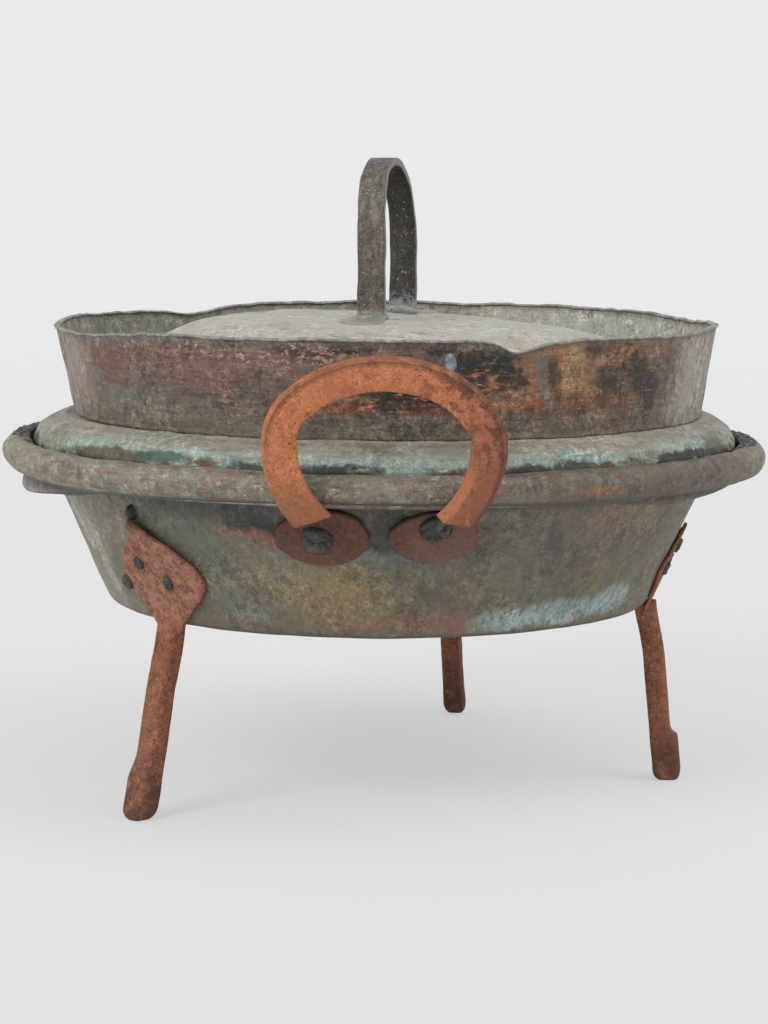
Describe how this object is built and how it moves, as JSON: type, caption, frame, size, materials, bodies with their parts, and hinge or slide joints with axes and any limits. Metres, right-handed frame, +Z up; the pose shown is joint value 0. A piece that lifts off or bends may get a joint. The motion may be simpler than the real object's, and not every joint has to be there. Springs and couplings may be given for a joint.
{
  "type": "copper country oven",
  "caption": "Footed copper pan with a rolled rim, iron legs and horseshoe handles, and a loose lid whose flared collar holds embers round a dome.",
  "frame": {"origin": "on the floor under the centre of the pan", "axes": "+Z up out of the lid, -Y to the front (the side of the front handle), +X to the right"},
  "size_m": [0.42, 0.452, 0.342],
  "materials": {
    "pan_copper": "copper under a thin green-brown patina, satin",
    "lid_copper": "copper under a dusty grey-green patina, matt",
    "collar_copper": "copper browned and blackened by embers, worn bright in places",
    "handle_iron": "wrought iron under even orange rust, matt",
    "leg_iron": "wrought iron under mottled brown rust, matt",
    "strap_metal": "dark handled metal, worn on the edges",
    "dark_rivet": "hammered rivet heads, dark grey-green",
    "hidden_iron": "iron wire inside the rolled rim"
  },
  "bodies": {
    "pan": {"pan_shell": "pan_copper", "rim_wire": "hidden_iron", "front_handle": "handle_iron", "rear_handle": "handle_iron", "front_rivet_left": "dark_rivet", "front_rivet_right": "dark_rivet", "rear_rivet_left": "dark_rivet", "rear_rivet_right": "dark_rivet", "leg_left": "leg_iron", "leg_right": "leg_iron", "leg_back": "leg_iron", "leg_left_rivets": "dark_rivet", "leg_right_rivets": "dark_rivet", "leg_back_rivets": "dark_rivet"},
    "lid": {"lid_plate": "lid_copper", "lid_collar": "collar_copper", "collar_seam_rivets": "collar_copper", "lid_handle": "strap_metal", "lid_handle_rivet_front": "lid_copper", "lid_handle_rivet_back": "lid_copper"}
  },
  "joints": [
    {"name": "lid_lift", "type": "slide", "parent": "pan", "child": "lid", "axis": [0, 0, 1], "range_m": [0, 0.15]}
  ]
}
